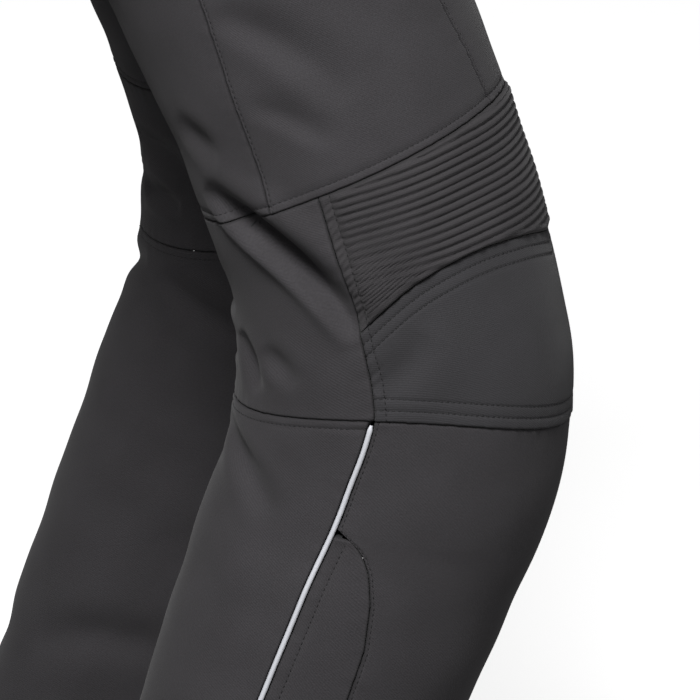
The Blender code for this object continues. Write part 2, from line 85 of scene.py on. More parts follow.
cloth = {
    "thickness": 0.0009, "seamGap": 0.0003, "cell": 0.0039, "kneeCell": 0.0028,
    "allowance": 0.008, "hemTurn": 0.024, "rollRadius": 0.0013,
    "pucker": 0.00022, "puckerLength": 0.0085, "slack": 0.0006,
    "stitchDip": 0.00045, "stitchDipWidth": 0.0007,
}
# distances from a seam at which the grid has a line, where the cloth rolls under
rolled = (0.0, 0.0003, 0.0007, 0.0013, 0.0022, 0.0036)
# how far round the leg a radian reaches, how much a crease bows, how its ends taper and its lips rise
creaseForm = {"legRadius": 0.086, "bow": 0.06, "taper": 0.6, "lip": 0.25}
gussetTop = seams["gusset"][0][0]


def smoothLine(at, xs, ys):
    xs, ys = np.asarray(xs, float), np.asarray(ys, float)
    spare = 0.01 * (xs[-1] - xs[0])
    at = np.clip(np.asarray(at, float), xs[0] - spare, xs[-1] + spare)
    step = np.diff(xs)
    rise = np.diff(ys) / step
    middle = (rise[:-1] * step[1:] + rise[1:] * step[:-1]) / (step[1:] + step[:-1])
    slope = np.concatenate([rise[:1], middle, rise[-1:]])
    i = np.clip(np.searchsorted(xs, at, side="right") - 1, 0, len(xs) - 2)
    t = (at - xs[i]) / step[i]
    start = (2 * t**3 - 3 * t**2 + 1) * ys[i] + (t**3 - 2 * t**2 + t) * step[i] * slope[i]
    return start + (3 * t**2 - 2 * t**3) * ys[i + 1] + (t**3 - t**2) * step[i] * slope[i + 1]


def sectionAt(way):
    return {name: smoothLine(way, legShape["way"], column) for name, column in legShape.items()}


def bareSkin(way, angle, side):
    at = sectionAt(way)
    turn = np.radians(angle)
    across, along = np.cos(turn), np.sin(turn)
    innerSide = across < 0
    full = np.abs(along) ** np.where(innerSide, at["square"], 1.0) * np.sign(along)
    wide = np.where(innerSide, at["inner"], at["outer"]) * across
    deep = np.where(along > 0, at["front"], at["back"]) * full
    tilt, yaw = np.radians(at["tilt"]), np.radians(at["yaw"])
    x = at["x"] + wide * np.cos(yaw) + deep * np.cos(tilt) * np.sin(yaw)
    y = -at["forward"] + wide * np.sin(yaw) - deep * np.cos(tilt) * np.cos(yaw)
    return np.stack([side * x, y, -at["drop"] + deep * np.sin(tilt)], -1)


def facingOut(way, angle, side):
    down = bareSkin(way + 0.001, angle, side) - bareSkin(way - 0.001, angle, side)
    roundIt = bareSkin(way, angle + 0.6, side) - bareSkin(way, angle - 0.6, side)
    normal = np.cross(roundIt, down) * side
    return normal / np.linalg.norm(normal, axis=-1, keepdims=True)


def creaseDepth(way, angle, side):
    depth = np.zeros(np.shape(way))
    for wayA, angleA, wayB, angleB, right, left, width, lean in creases:
        turn = (angle - angleA + 180) % 360 - 180
        along, down = math.radians(angleB - angleA) * creaseForm["legRadius"], wayB - wayA
        length = math.hypot(along, down)
        x, y = np.radians(turn) * creaseForm["legRadius"], way - wayA
        t = (x * along + y * down) / length**2
        arch = np.sin(math.pi * np.clip(t, 0, 1))
        across = (x * down - y * along) / length - creaseForm["bow"] * length * arch
        across = across * 1000 / width
        across = across / (1 + lean * np.tanh(across))
        taper = arch ** creaseForm["taper"]
        trough = np.exp(-across**2) - creaseForm["lip"] * np.exp(-((np.abs(across) - 2) ** 2))
        depth += (left if side > 0 else right) / 1000 * taper * trough
    return depth


def slackOf(way, angle, side):
    # slow, uneven waves of cloth that isn't pulled tight
    turn, phase = np.radians(angle), 1.3 + 0.9 * side
    wave = np.sin(61 * way + 2 * turn + phase) * np.sin(3 * turn - 24 * way + 2 * phase)
    wave += 0.6 * np.sin(113 * way - 3 * turn + 2.1 * phase) * np.sin(5 * turn + 37 * way)
    return cloth["slack"] * wave


def skinPoints(way, angle, side, out=0.0):
    way, angle = np.broadcast_arrays(np.asarray(way, float), np.asarray(angle, float))
    moved = np.broadcast_to(out, way.shape) - creaseDepth(way, angle, side) + slackOf(way, angle, side)
    return bareSkin(way, angle, side) + facingOut(way, angle, side) * moved[..., None]


def riseAngle(way):
    at = sectionAt(way)
    return np.degrees(np.arccos(np.clip(-at["x"] / at["inner"], -1.0, 0.0)))


def backRise(way):
    return 360 - riseAngle(way)


def crossSeam(angle):
    return seams["cross"] - seams["crossDip"] * np.sin(np.radians(angle))


def kneeSeam(angle):
    return seams["knee"] + seams["kneeDip"] * np.sin(np.radians(angle)) ** 2


def kneeTop(angle):
    return smoothLine(90 - np.abs(np.asarray(angle, float) - 90), *seams["kneeTop"])


def frontLine(way):
    return smoothLine(way, *seams["frontLine"])


def pipingLine(way):
    return smoothLine(way, *seams["piping"])


def frontOfPiping(way):
    return pipingLine(way) + seams["cordHalf"]


def backOfPiping(way):
    return 360 + pipingLine(way) - seams["cordHalf"]


def gussetLine(way):
    return np.where(way < gussetTop, frontOfPiping(way), np.interp(way, *seams["gusset"]))


def fixedAngle(angle):
    return lambda way: np.full(np.shape(way), float(angle))


def thighWay(row, angle):
    # rows start to bend towards the crosswise seam 0.40 m down the leg
    bend = np.clip((row - 0.40) / (seams["cross"] - 0.40), 0, 1)
    return row + (crossSeam(angle) - seams["cross"]) * bend


def kneeWay(row, angle):
    return kneeTop(angle) + (kneeSeam(angle) - kneeTop(angle)) * row


def ribWay(row, angle):
    return crossSeam(angle) + (kneeTop(angle) - crossSeam(angle)) * row


def kneeBackWay(row, angle):
    return crossSeam(angle) + (kneeSeam(angle) - crossSeam(angle)) * row


def shinWay(row, angle):
    bend = np.clip((gussetTop - row) / (gussetTop - seams["knee"]), 0, 1)
    return row + (kneeSeam(angle) - seams["knee"]) * bend


def gussetWay(row, angle):
    (top, below), (start, end) = seams["gusset"][0][:2], seams["gusset"][1][:2]
    return row + (angle - end) * np.where(row <= below, (below - top) / (end - start), 0.0)


def lengthAlong(points, axis):
    step = np.linalg.norm(np.diff(points, axis=axis), axis=-1)
    zero = np.zeros_like(np.take(step, [0], axis=axis))
    return np.cumsum(np.concatenate([zero, step], axis=axis), axis=axis)


def closeShares(lengths, count, nearStart, nearEnd):
    # shares of a length that lie close together at both seams, where the cloth rolls under
    lengths = np.asarray(lengths, float)[:, None]
    scale = np.minimum(1.0, lengths / (1.6 * (nearStart[-1] + nearEnd[-1])))
    start, end = nearStart[None] * scale / lengths, nearEnd[None] * scale / lengths
    middle = start[:, -1:] + (1 - end[:, -1:] - start[:, -1:]) * np.linspace(0, 1, count)[None]
    return np.concatenate([start[:, :-1], middle, 1 - end[:, -2::-1]], axis=1)


def nearSeam(panel, edge):
    lines = set(rolled)
    for name, distance in panel["stitched"]:
        if name == edge:
            lines.update(distance + x * cloth["stitchDipWidth"] for x in (-1.3, -0.6, 0, 0.6, 1.3))
    line = np.array(sorted(lines))
    keep = np.concatenate([[True], np.diff(line) > 0.00022])
    return line[keep] + cloth["seamGap"] / 2


def rollUnder(distance):
    r = cloth["rollRadius"]
    return r - np.sqrt(np.maximum(r**2 - (r - np.minimum(distance, r)) ** 2, 0))


def puckersAt(distance, alongIt, side):
    x = alongIt / cloth["puckerLength"] * 2 * math.pi
    wave = np.sin(x) + 0.7 * np.sin(1.63 * x + 1.1 + side) + 0.5 * np.sin(0.57 * x + 0.4)
    return cloth["pucker"] * wave * np.exp(-((distance / 0.008) ** 2))


def edgeDistances(fromLeft, fromTop):
    return {
        "left": fromLeft, "right": fromLeft[:, -1:] - fromLeft,
        "top": fromTop, "bottom": fromTop[-1:] - fromTop,
    }


def layPanel(panel, side):
    # a grid of points for one cut piece, with its seam allowances turned under
    first, last = panel["rows"]
    left, right, place = panel["left"], panel["right"], panel["place"]
    cell = panel.get("cell", cloth["cell"])
    near = {edge: nearSeam(panel, edge) for edge in ("left", "right", "top", "bottom")}

    def lay(row, share):
        way = row
        for _ in range(10):
            angle = left(way) + (right(way) - left(way)) * share
            way = place(row, angle)
        return way, angle

    even = np.linspace(0, 1, 41)
    rough = bareSkin(*lay(*np.meshgrid(first + (last - first) * even, even, indexing="ij")), side)
    widths, heights = lengthAlong(rough, 1)[:, -1], lengthAlong(rough, 0)[-1]
    across = round(float(widths.max()) / cell)
    down = round(float(heights.max()) / panel.get("rowCell", cell))
    middle = closeShares([widths.mean()], across, near["left"], near["right"])[0]
    rowShare = closeShares(np.interp(middle, even, heights), down, near["top"], near["bottom"]).T
    rows = first + (last - first) * rowShare
    share = closeShares(np.interp(rowShare.mean(1), even, widths), across, near["left"], near["right"])
    way, angle = lay(rows, share)
    bare = bareSkin(way, angle, side)
    fromLeft, fromTop = lengthAlong(bare, 1), lengthAlong(bare, 0)
    edges = edgeDistances(fromLeft, fromTop)
    out = np.zeros(way.shape)
    for edge, distance in edges.items():
        out += puckersAt(distance, fromTop if edge in ("left", "right") else fromLeft, side)
    for edge, distance in panel["stitched"]:
        out -= cloth["stitchDip"] * np.exp(-(((edges[edge] - distance) / cloth["stitchDipWidth"]) ** 2))
    if "lift" in panel:
        out += panel["lift"](rowShare)
    top = out + panel["relief"](way, angle, edges) if "relief" in panel else out
    # the turned allowances run back under the piece on the lines that it already has
    index, under = [], []
    for size, start, end in ((way.shape[0], "top", "bottom"), (way.shape[1], "left", "right")):
        turned = []
        for edge in (start, end):
            reach = panel.get("turned", {}).get(edge, cloth["allowance"])
            steps = len(near[edge]) - 1 + max(0, round((reach - near[edge][-1]) / cell))
            steps = min(steps, size // 2)
            turned.append([k for k in range(1, steps + 1) if k in (1, 3) or k % 2 == 0])
        index.append([*turned[0][::-1], *range(size), *[size - 1 - k for k in turned[1]]])
        before, after = len(turned[0]), len(turned[1])
        under.append(([1] * before + [0] * (size + after), [0] * (before + size) + [1] * after))
    pick = np.ix_(*index)
    r = cloth["rollRadius"]
    below = {"top": np.array(under[0][0])[:, None], "bottom": np.array(under[0][1])[:, None],
             "left": np.array(under[1][0])[None], "right": np.array(under[1][1])[None]}
    flat = sum(below.values()) == 0
    full = np.where(flat, top[pick], out[pick])
    for edge, isUnder in below.items():
        roll = rollUnder(edges[edge][pick])
        full += np.where(isUnder == 1, roll - 2 * r, -roll)
    points = skinPoints(way[pick], angle[pick], side, full)
    flatPoints = skinPoints(way, angle, side, top - sum(rollUnder(d) for d in edges.values()))
    u = np.where(below["left"] == 1, -1, 1) * fromLeft[pick]
    v = np.where(below["top"] == 1, -1, 1) * fromTop[pick]
    facing = facingOut(way[pick], angle[pick], side) * np.where(flat, 1, 0)[..., None]
    return {
        "points": points, "facing": facing, "uv": np.stack([u, v], -1),
        "surface": flatPoints, "normals": facingOut(way, angle, side), "edges": edges,
        "near": np.minimum.reduce([e[pick] for e in edges.values()]),
    }


def hexColour(code):
    channels = [int(code[k:k + 2], 16) / 255 for k in (1, 3, 5)]
    return (*[c / 12.92 if c <= 0.04045 else ((c + 0.055) / 1.055) ** 2.4 for c in channels], 1.0)


def addNode(tree, kind, settings=(), inputs=()):
    node = tree.nodes.new(kind)
    for name, value in dict(settings).items():
        setattr(node, name, value)
    for name, value in dict(inputs).items():
        if isinstance(value, bpy.types.NodeSocket):
            tree.links.new(value, node.inputs[name])
        else:
            node.inputs[name].default_value = value
    return node


def newMaterial(name):
    material = bpy.data.materials.new(name)
    material.use_nodes = True
    return material, material.node_tree, material.node_tree.nodes["Principled BSDF"]


# Woven polyester softshell with a brushed face: matt, a little sheen at the edges, and a melange grain.
# Its yarns are 0.3 mm apart, which is too fine to show, so the twill is drawn 1.2 mm wide. Grain, twill
# and patch are widths in mm, and bump is a height in metres.
softshell = {
    "dark": "#3a383a", "light": "#4b494c", "grain": 1.0, "twill": 1.2, "patch": 38.0,
    "roughness": 0.86, "sheen": 0.10, "specular": 0.22, "bump": 0.00010,
}
kneeSoftshell = {**softshell, "dark": "#383739", "light": "#474649", "grain": 0.8, "twill": 1.0, "sheen": 0.14}
ribKnit = {**softshell, "dark": "#383638", "light": "#484648", "grain": 0.7, "twill": 0.9, "sheen": 0.12}
lining = {**softshell, "dark": "#2c2c2e", "light": "#38383a", "grain": 1.6, "twill": 2.2, "bump": 0.0002}


def clothMaterial(name, values):
    material, tree, shader = newMaterial(name)
    uv = addNode(tree, "ShaderNodeUVMap", {"uv_map": "cloth"}).outputs["UV"]
    scaled = addNode(tree, "ShaderNodeMapping", inputs={"Vector": uv, "Scale": (1000, 1000, 1000)})
    inMillimetres = scaled.outputs["Vector"]
    grain = addNode(tree, "ShaderNodeTexNoise", inputs={
        "Vector": inMillimetres, "Scale": 1 / values["grain"], "Detail": 3.0, "Roughness": 0.7,
    })
    patches = addNode(tree, "ShaderNodeTexNoise", inputs={
        "Vector": inMillimetres, "Scale": 1 / values["patch"], "Detail": 2.0,
    })
    turned = addNode(tree, "ShaderNodeMapping", inputs={
        "Vector": inMillimetres, "Rotation": (0, 0, math.radians(52)),
    })
    twill = addNode(
        tree, "ShaderNodeTexWave", {"bands_direction": "X"},
        {
            "Vector": turned.outputs["Vector"], "Scale": 1 / (values["twill"] * 3.18),
            "Distortion": 1.6, "Detail": 2.0, "Detail Scale": 2.0,
        },
    )
    multiplyAdd = {"operation": "MULTIPLY_ADD"}
    mixed = addNode(tree, "ShaderNodeMath", multiplyAdd, {0: patches.outputs["Fac"], 1: 0.35, 2: -0.1})
    tone = addNode(
        tree, "ShaderNodeMath", multiplyAdd, {0: grain.outputs["Fac"], 1: 0.9, 2: mixed.outputs["Value"]},
    )
    ramp = addNode(tree, "ShaderNodeMapRange", inputs={
        "Value": tone.outputs["Value"], "From Min": 0.28, "From Max": 0.78,
    })
    colour = addNode(
        tree, "ShaderNodeMix", {"data_type": "RGBA"},
        {"Factor": ramp.outputs["Result"], "A": hexColour(values["dark"]), "B": hexColour(values["light"])},
    )
    # painted shade: in the last 1.2 mm of cloth before a seam, where it rolls under, the colour is darkened down to
    # 0.55
    near = addNode(tree, "ShaderNodeAttribute", {"attribute_name": "fromSeam"})
    paintedSeamShade = addNode(tree, "ShaderNodeMapRange", inputs={
        "Value": near.outputs["Fac"], "From Min": 0.0, "From Max": 1.2, "To Min": 0.55, "To Max": 1.0,
    })
    # the base colour is scaled by the painted seam shade
    shade = addNode(
        tree, "ShaderNodeVectorMath", {"operation": "SCALE"},
        {"Vector": colour.outputs["Result"], "Scale": paintedSeamShade.outputs["Result"]},
    )
    tree.links.new(shade.outputs["Vector"], shader.inputs["Base Color"])
    height = addNode(
        tree, "ShaderNodeMath", multiplyAdd, {0: twill.outputs["Fac"], 1: 0.5, 2: grain.outputs["Fac"]},
    )
    bump = addNode(tree, "ShaderNodeBump", inputs={
        "Height": height.outputs["Value"], "Distance": values["bump"] * 1.5, "Strength": 1.0,
    })
    tree.links.new(bump.outputs["Normal"], shader.inputs["Normal"])
    shader.inputs["Roughness"].default_value = values["roughness"]
    shader.inputs["Specular IOR Level"].default_value = values["specular"]
    shader.inputs["Sheen Weight"].default_value = values["sheen"]
    shader.inputs["Sheen Roughness"].default_value = 0.5
    return material


def plainMaterial(name, low, high, roughness, grain, specular=0.5):
    # a noise of two close tones on Object coordinates, with a fine bump
    material, tree, shader = newMaterial(name)
    place = addNode(tree, "ShaderNodeTexCoord").outputs["Object"]
    noise = addNode(tree, "ShaderNodeTexNoise", inputs={"Vector": place, "Scale": 1000 / grain, "Detail": 3.0})
    colour = addNode(
        tree, "ShaderNodeMix", {"data_type": "RGBA"},
        {"Factor": noise.outputs["Fac"], "A": hexColour(low), "B": hexColour(high)},
    )
    bump = addNode(tree, "ShaderNodeBump", inputs={
        "Height": noise.outputs["Fac"], "Distance": 0.00005, "Strength": 1.0,
    })
    tree.links.new(colour.outputs["Result"], shader.inputs["Base Color"])
    tree.links.new(bump.outputs["Normal"], shader.inputs["Normal"])
    shader.inputs["Roughness"].default_value = roughness
    shader.inputs["Specular IOR Level"].default_value = specular
    return material


shellMaterial = clothMaterial("brushedSoftshell", softshell)
kneeMaterial = clothMaterial("smoothSoftshell", kneeSoftshell)
ribMaterial = clothMaterial("ribbedStretchKnit", ribKnit)
liningMaterial = clothMaterial("brushedKnitLining", lining)
# Spun polyester thread, waxed enough to catch a little light
threadMaterial = plainMaterial("polyesterThread", "#1b1a1b", "#2a292b", 0.6, 0.5)
# Glass-bead film on a cord: near white from every side, with a grey cast in the beads
pipingMaterial = plainMaterial("reflectiveFilm", "#dfe1ea", "#f2f3f8", 0.42, 0.6)
# Nylon button, moulded and tumbled to a satin black
buttonMaterial = plainMaterial("tumbledNylon", "#161617", "#1e1e20", 0.42, 1.5)
print("materials made")


def finishPiece(bm, name, materials):
    mesh = bpy.data.meshes.new(name)
    bm.to_mesh(mesh)
    bm.free()
    for material in materials:
        mesh.materials.append(material)
    mesh.shade_smooth()
    piece = bpy.data.objects.new(name, mesh)
    bpy.context.scene.collection.objects.link(piece)
    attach(piece, "root")
    return piece


def addCloth(name, node, laid, materials):
    # one cut piece of cloth: a grid of points, thickened towards the inside
    points = laid["points"]
    rows, columns = points.shape[:2]
    bm = bmesh.new()
    uvLayer = bm.loops.layers.uv.new("cloth")
    seamLayer = bm.verts.layers.float.new("fromSeam")
    bmesh.ops.create_grid(bm, x_segments=columns - 1, y_segments=rows - 1, size=1.0)
    bm.verts.index_update()
    cells = []
    for vert in bm.verts:
        row, column = (vert.co.y + 1) / 2 * (rows - 1), (vert.co.x + 1) / 2 * (columns - 1)
        cell = (round(row), round(column))
        cells.append(cell)
        vert.co = points[cell]
        vert[seamLayer] = min(float(laid["near"][cell]) * 1000, 30.0)
    for face in bm.faces:
        for loop in face.loops:
            loop[uvLayer].uv = laid["uv"][cells[loop.vert.index]]
    bm.normal_update()
    # every 37th vertex is enough to tell which way the sheet faces
    some = list(bm.verts)[::37]
    if sum(vert.normal.dot(Vector(laid["facing"][cells[vert.index]])) for vert in some) < 0:
        bmesh.ops.reverse_faces(bm, faces=bm.faces)
    piece = finishPiece(bm, name, materials)
    wall = piece.modifiers.new("clothThickness", "SOLIDIFY")
    wall.thickness = cloth["thickness"]
    wall.offset = -1
    wall.material_offset = 1
    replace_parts(piece, node)
    width, length = lengthAlong(points, 1)[:, -1].max(), lengthAlong(points, 0)[-1].max()
    down, over = np.diff(points, axis=0)[:, :-1], np.diff(points, axis=1)[:-1]
    area = float(np.linalg.norm(np.cross(down, over), axis=-1).sum())
    area = min(area, float(width * length))


thread = {
    "pitch": 0.0032, "length": 0.0025, "width": 0.00062, "height": 0.00045, "lift": 0.00004,
}


def stitchLine(laid, edge, distance):
    # the line on a laid piece that runs beside one of its edges
    surface, normals, far = laid["surface"], laid["normals"], laid["edges"][edge]
    if edge in ("left", "right"):
        surface, normals, far = surface.transpose(1, 0, 2), normals.transpose(1, 0, 2), far.T
    points, facing = [], []
    for column in range(surface.shape[1]):
        order = slice(None) if far[0, column] < far[-1, column] else slice(None, None, -1)
        reach = far[order, column]
        if reach[-1] < 1.5 * distance:
            continue
        points.append([np.interp(distance, reach, surface[order, column, k]) for k in range(3)])
        facing.append([np.interp(distance, reach, normals[order, column, k]) for k in range(3)])
    return np.array(points), np.array(facing)


def lineAt(at, reach, line):
    return np.stack([np.interp(at, reach, line[:, k]) for k in range(3)], -1)


def sewLine(bm, points, facing):
    # one small capsule of thread for each stitch
    reach = lengthAlong(points, 0)
    count = int(reach[-1] / thread["pitch"])
    at = (np.arange(count) + 0.5) * reach[-1] / count
    middle, normal = lineAt(at, reach, points), lineAt(at, reach, facing)
    quarter = thread["pitch"] / 4
    ahead = lineAt(at + quarter, reach, points) - lineAt(at - quarter, reach, points)
    for k in range(count):
        along = Vector(ahead[k]).normalized()
        across = along.cross(Vector(normal[k])).normalized()
        up = across.cross(along)
        axes = (along * thread["length"], across * thread["width"], up * thread["height"])
        turn = Matrix([axis / 2 for axis in axes]).transposed().to_4x4()
        turn.translation = Vector(middle[k]) + up * thread["lift"]
        bmesh.ops.create_icosphere(bm, subdivisions=1, radius=1.0, matrix=turn)


def sewPiece(name, lines):
    whole = bpy.data.meshes.new(name)
    bm = bmesh.new()
    for points, facing in lines:
        row = bmesh.new()
        sewLine(row, points, facing)
        row.to_mesh(whole)
        row.free()
        bm.from_mesh(whole)
    bpy.data.meshes.remove(whole)
    finishPiece(bm, name, [threadMaterial])


ribs = {
    "pitch": 0.0040, "first": 0.4957, "height": 0.0022, "flatEdge": 0.0062, "fade": 0.0016,
    "braid": 0.00034, "braidTurn": 0.0058, "endFade": 0.0012,
}


def ribRelief(way, angle, edges):
    # rounded ribs with narrow valleys, pressed flat and braided by the stitching at both ends
    turn = np.radians(angle)
    wobble = 0.05 * np.sin(turn * 9) + 0.04 * np.sin(way * 2100 + 3 * turn)
    phase = (way - ribs["first"]) / ribs["pitch"] + wobble
    crest = np.abs(np.sin(math.pi * phase)) ** 0.5
    side = np.minimum(edges["left"], edges["right"])
    inside = 1 / (1 + np.exp(-(side - ribs["flatEdge"] - ribs["fade"] / 2) / (ribs["fade"] / 4)))
    ends = np.clip(np.minimum(edges["top"], edges["bottom"]) / ribs["endFade"], 0, 1)
    braid = np.sin(2 * math.pi * (phase + side / ribs["braidTurn"]))
    braid *= np.sin(math.pi * np.clip(side / ribs["flatEdge"], 0, 1))
    return ends * (ribs["height"] * crest * inside + ribs["braid"] * braid * (1 - inside))


def kneeProud(rowShare):
    return 0.0011 * np.clip(2 * rowShare - 1, 0, 1)


# Every cut piece of one leg: its borders, its rows and the rows of topstitching beside its seams.
twin = (0.0062, 0.0126)
legPieces = {
    "frontOuter": {
        "node": "front_outer", "place": thighWay, "rows": (seams["band"], seams["cross"]),
        "left": fixedAngle(seams["side"]), "right": frontLine,
        "stitched": (("bottom", 0.0045), ("left", 0.0019)),
    },
    "frontInner": {
        "node": "front_inner", "place": thighWay, "rows": (seams["band"], seams["cross"]),
        "left": frontLine, "right": riseAngle,
        "stitched": (("bottom", 0.0045), ("left", 0.0020)),
    },
    "back": {
        "node": "back", "place": thighWay, "rows": (seams["band"], seams["cross"]),
        "left": backRise, "right": fixedAngle(360 + seams["side"]),
        "stitched": (("bottom", 0.0045), ("left", 0.0020)),
    },
    "ribPanel": {
        "node": "rib", "place": ribWay, "rows": (0, 1), "cell": 0.0042, "rowCell": 0.00056,
        "relief": ribRelief,
        "left": fixedAngle(seams["kneeEdge"]), "right": fixedAngle(180 - seams["kneeEdge"]),
        "stitched": (("left", 0.0060), ("right", 0.0060)),
        "material": ribMaterial, "slot": "ribbed_stretch",
    },
    "kneePanel": {
        "node": "knee", "place": kneeWay, "rows": (0, 1), "cell": cloth["kneeCell"], "lift": kneeProud,
        "left": fixedAngle(seams["kneeEdge"]), "right": fixedAngle(180 - seams["kneeEdge"]),
        "stitched": (
            ("top", twin[0]), ("top", twin[1]), ("bottom", twin[0]), ("bottom", twin[1]),
            ("left", 0.0060), ("right", 0.0060),
        ),
        "material": kneeMaterial, "slot": "knee_softshell",
    },
    "kneeBack": {
        "node": "knee_back", "place": kneeBackWay, "rows": (0, 1), "cell": cloth["kneeCell"],
        "left": fixedAngle(180 - seams["kneeEdge"]), "right": fixedAngle(360 + seams["kneeEdge"]),
        "stitched": (),
    },
    "shinFront": {
        "node": "shin_front", "place": shinWay, "rows": (seams["knee"], seams["hem"]),
        "left": gussetLine, "right": fixedAngle(seams["inseam"]), "turned": {"bottom": cloth["hemTurn"]},
        "stitched": (("left", 0.0018), ("bottom", 0.0200)),
    },
    "gusset": {
        "node": "gusset", "place": gussetWay, "rows": (seams["gusset"][0][1], seams["hem"]), "cell": 0.0033,
        "left": frontOfPiping, "right": gussetLine, "turned": {"bottom": cloth["hemTurn"]},
        "stitched": (("left", 0.0072), ("bottom", 0.0200)),
    },
    "shinBack": {
        "node": "shin_back", "place": shinWay, "rows": (seams["knee"], seams["hem"]),
        "left": fixedAngle(seams["inseam"]), "right": backOfPiping, "turned": {"bottom": cloth["hemTurn"]},
        "stitched": (("top", 0.0045), ("left", 0.0020), ("bottom", 0.0200)),
    },
}


def offTheMiddle(laid, side):
    for key in ("points", "surface"):
        laid[key][..., 0] = side * np.maximum(side * laid[key][..., 0], cloth["seamGap"] / 2)
    return laid


for side, hand in ((-1, "Right"), (1, "Left")):
    tag, sewn = hand[0].lower(), []
    for name, panel in legPieces.items():
        laid = offTheMiddle(layPanel(panel, side), side)
        materials = [panel.get("material", shellMaterial), liningMaterial]
        addCloth(name + hand, f"{panel['node']}_{tag}", laid, materials)
        sewn += [stitchLine(laid, edge, distance) for edge, distance in panel["stitched"]]
    sewPiece("stitching" + hand, [line for line in sewn if len(line[0]) > 3])
    print("leg made", hand)


piping = {
    "radius": 0.0014, "sunk": 0.0001, "start": 0.6312, "end": 1.0388, "sides": 14, "rings": 150,
}


def addPiping(side, hand):
    # a filled cord wrapped in film and sewn into the outer shin seam
    ways = np.linspace(piping["start"], piping["end"], piping["rings"])
    last = len(ways) - 1
    middle = skinPoints(ways, pipingLine(ways), side, -piping["sunk"])
    facing = facingOut(ways, pipingLine(ways), side)
    bm = bmesh.new()
    turns = piping["sides"]
    made = bmesh.ops.create_grid(bm, x_segments=turns, y_segments=last, size=1.0)
    for vert in made["verts"]:
        ring, spin = round((vert.co.y + 1) / 2 * last), round((vert.co.x + 1) / 2 * turns)
        along = Vector(middle[min(ring + 1, last)] - middle[max(ring - 1, 0)]).normalized()
        radius = piping["radius"] * (0.55 if ring in (0, last) else 1)
        radius *= 1 + 0.02 * math.sin(2.1 * ring)
        turn = Matrix.Rotation(2 * math.pi * (spin % turns) / turns, 3, along)
        vert.co = Vector(middle[ring]) + turn @ Vector(facing[ring]) * radius
    bmesh.ops.remove_doubles(bm, verts=bm.verts, dist=0.00001)
    bmesh.ops.holes_fill(bm, edges=[edge for edge in bm.edges if edge.is_boundary])
    bmesh.ops.recalc_face_normals(bm, faces=bm.faces)
    piece = finishPiece(bm, "piping" + hand, [pipingMaterial])
    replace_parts(piece, "piping_" + hand[0].lower())


addPiping(-1, "Right")
addPiping(1, "Left")

waistband = {"height": 0.0398, "lap": 0.0021, "lapEnd": 68.0, "lines": 150}


def bandLines():
    # side, angle and lift of each upright line of the band, from its under end round to its upper end
    half = waistband["lines"] // 2
    stops = np.linspace(-89.9, 89.9, half)
    under = [(-1, angle, 0.0) for angle in stops[::-1]]
    left = [(1, angle, waistband["lap"] * min(max((angle - 60) / 20, 0), 1)) for angle in stops]
    over = [(-1, angle, waistband["lap"]) for angle in np.linspace(89.9, waistband["lapEnd"], 16)]
    return [*under, *left, *over]


def layBand():
    tall, r = waistband["height"], cloth["rollRadius"]
    near = np.array(rolled)
    ways = np.concatenate([near, np.linspace(near[-1], tall - near[-1], 14)[1:-1], tall - near[::-1]])
    rows = [*range(len(ways) - 4, 0, -1), *range(len(ways)), len(ways) - 2, len(ways) - 4]
    folded = np.array([1] * (len(ways) - 4) + [0] * len(ways) + [2, 2])
    columns = bandLines()
    points, facing, surface, normals = [], [], [], []
    for column, (side, angle, lift) in enumerate(columns):
        fromEnd = min(column, len(columns) - 1 - column) * 0.0028
        lift = lift - rollUnder(np.array(fromEnd)) * 0.5
        line = np.sign(angle) * np.minimum(abs(angle), riseAngle(ways))
        roll = rollUnder(ways) + rollUnder(tall - ways)
        out = lift + np.where(folded == 0, -roll[rows], roll[rows] - 2 * r)
        points.append(skinPoints(ways[rows], line[rows], side, out))
        facing.append(facingOut(ways[rows], line[rows], side) * np.where(folded == 0, 1, 0)[:, None])
        surface.append(skinPoints(ways, line, side, lift - roll))
        normals.append(facingOut(ways, line, side))
    points, surface = np.stack(points, 1), np.stack(surface, 1)
    fromTop, fromStart = lengthAlong(surface, 0), lengthAlong(surface, 1)
    edges = edgeDistances(fromStart, fromTop)
    return {
        "points": points, "facing": np.stack(facing, 1), "surface": surface,
        "normals": np.stack(normals, 1), "edges": edges,
        "uv": np.stack([fromStart[rows], fromTop[rows] * np.where(folded == 1, -1, 1)[:, None]], -1),
        "near": np.minimum.reduce([e[rows] for e in edges.values()]),
    }


fly = {
    "top": 0.0402, "bottom": 0.158, "curve": 0.036, "right": 0.013, "left": 0.037, "lift": 0.0021,
    "hipRadius": 0.125, "edgeDrop": 0.0007,
}


def layFly():
    # the fly's facing lies on both fronts, and curves in to the middle seam at its foot
    ways = np.linspace(fly["top"], fly["bottom"], 60)
    share = np.clip((ways - (fly["bottom"] - fly["curve"])) / fly["curve"], 0, 0.985)
    narrowed = np.sqrt(1 - share**2)
    across = np.concatenate([[-1, -0.97, -0.9], np.linspace(-0.8, 0.8, 25), [0.9, 0.95, 0.98, 1.0]])
    points, normals = [], []
    for x in across:
        side, width = (-1, fly["right"]) if x < 0 else (1, fly["left"])
        angle = riseAngle(ways) - np.degrees(abs(x) * width * narrowed / fly["hipRadius"])
        lift = fly["lift"] - fly["edgeDrop"] * (abs(x) > 0.99)
        points.append(skinPoints(ways, angle, side, lift))
        normals.append(facingOut(ways, angle, side))
    points, normals = np.stack(points, 1), np.stack(normals, 1)
    fromTop, fromStart = lengthAlong(points, 0), lengthAlong(points, 1)
    edges = edgeDistances(fromStart, fromTop)
    return {
        "points": points, "facing": normals, "surface": points, "normals": normals, "edges": edges,
        "uv": np.stack([fromStart, fromTop], -1), "near": np.minimum.reduce(list(edges.values())),
    }


